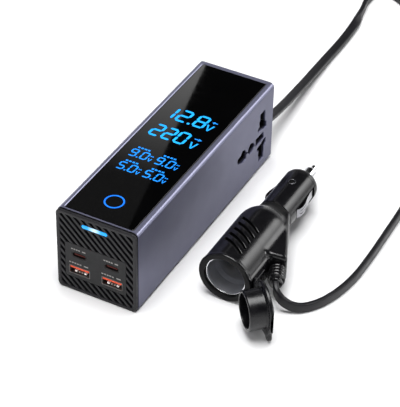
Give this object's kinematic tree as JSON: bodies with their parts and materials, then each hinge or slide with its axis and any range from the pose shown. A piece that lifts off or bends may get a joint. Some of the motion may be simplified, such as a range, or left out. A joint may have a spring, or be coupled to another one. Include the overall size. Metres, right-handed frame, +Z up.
{
  "type": "power inverter",
  "caption": "Slim aluminium vehicle power inverter with glass display top, USB ports, side mains socket, and a flat lead to a 12 V plug with a capped pass-through socket.",
  "frame": {"origin": "centre of the case's underside, where it rests", "axes": "+Z up, -Y out of the port face, +Y out of the back where the lead leaves, +X towards the mains socket and the plug"},
  "size_m": [0.1448, 0.3695, 0.054],
  "materials": {
    "case_aluminium": "satin",
    "black_glass": "polished",
    "black_plastic": "matte",
    "gloss_black": "gloss",
    "orange_plastic": "satin",
    "cyan_window": "gloss",
    "rubber": "satin",
    "steel": "satin",
    "bright_metal": "polished",
    "brass": "satin",
    "circuit_board": "satin",
    "ferrite": "matte",
    "winding_tape": "satin"
  },
  "bodies": {
    "inverter": {"case_shell": "case_aluminium", "top_glass": "black_glass", "display_module": "black_plastic", "touch_sensor": "brass", "display_board": "circuit_board", "front_bezel": "black_plastic", "port_plate": "black_plastic", "light_bar": "cyan_window", "usb_a_shell_left": "steel", "usb_a_shell_right": "steel", "usb_a_tongue_left": "orange_plastic", "usb_a_tongue_right": "orange_plastic", "usb_c_shell_left": "steel", "usb_c_shell_right": "steel", "usb_c_tongue_left": "black_plastic", "usb_c_tongue_right": "black_plastic", "usb_board": "circuit_board", "main_board": "circuit_board", "transformer_core": "ferrite", "transformer_winding": "winding_tape", "capacitor_left": "gloss_black", "capacitor_right": "gloss_black", "heat_sink": "case_aluminium", "transistor_1": "black_plastic", "transistor_2": "black_plastic", "transistor_3": "black_plastic", "transistor_4": "black_plastic", "ac_socket_insert": "black_plastic", "live_contact": "brass", "neutral_contact": "brass", "earth_contact": "brass", "rear_cover": "black_plastic", "cover_screw_1": "steel", "cover_screw_2": "steel", "cover_screw_3": "steel", "cover_screw_4": "steel", "fan_frame": "black_plastic", "cable_gland": "rubber", "power_cable": "rubber", "cable_boot": "rubber", "plug_housing": "gloss_black", "socket_sleeve": "steel", "socket_base": "black_plastic", "centre_contact": "brass", "plug_barrel": "gloss_black", "nose_cap": "gloss_black", "tip_spring": "steel", "fuse": "bright_metal", "led_lens": "gloss_black", "led_bezel": "bright_metal", "cap_anchor": "rubber"},
    "fan": {"fan_rotor": "black_plastic"},
    "cap": {"socket_cap": "rubber"},
    "tip": {"tip_contact": "bright_metal"},
    "left_leaf": {"side_contact_left": "bright_metal"},
    "right_leaf": {"side_contact_right": "bright_metal"}
  },
  "joints": [
    {"name": "fan_spin", "type": "hinge", "parent": "inverter", "child": "fan", "pos_m": [-0.0095, 0.075, 0.027], "axis": [0, 1, 0], "continuous": true},
    {"name": "cap_hinge", "type": "hinge", "parent": "inverter", "child": "cap", "pos_m": [0.0778, -0.0482, 0.016], "axis": [0, 0, 1], "range_deg": [-134, 12]},
    {"name": "tip_slide", "type": "slide", "parent": "inverter", "child": "tip", "axis": [0, 1, 0], "range_m": [-0.004, 0], "stiffness_N_per_m": 600, "springref_m": 0.002, "deforming": ["tip_spring"]},
    {"name": "left_leaf_flex", "type": "hinge", "parent": "inverter", "child": "left_leaf", "pos_m": [0.0511, 0.043, 0.016], "axis": [0, 0, 1], "range_deg": [0, 5], "stiffness_Nm_per_rad": 0.1},
    {"name": "right_leaf_flex", "type": "hinge", "parent": "inverter", "child": "right_leaf", "pos_m": [0.0709, 0.043, 0.016], "axis": [0, 0, 1], "range_deg": [-5, 0], "stiffness_Nm_per_rad": 0.1}
  ]
}
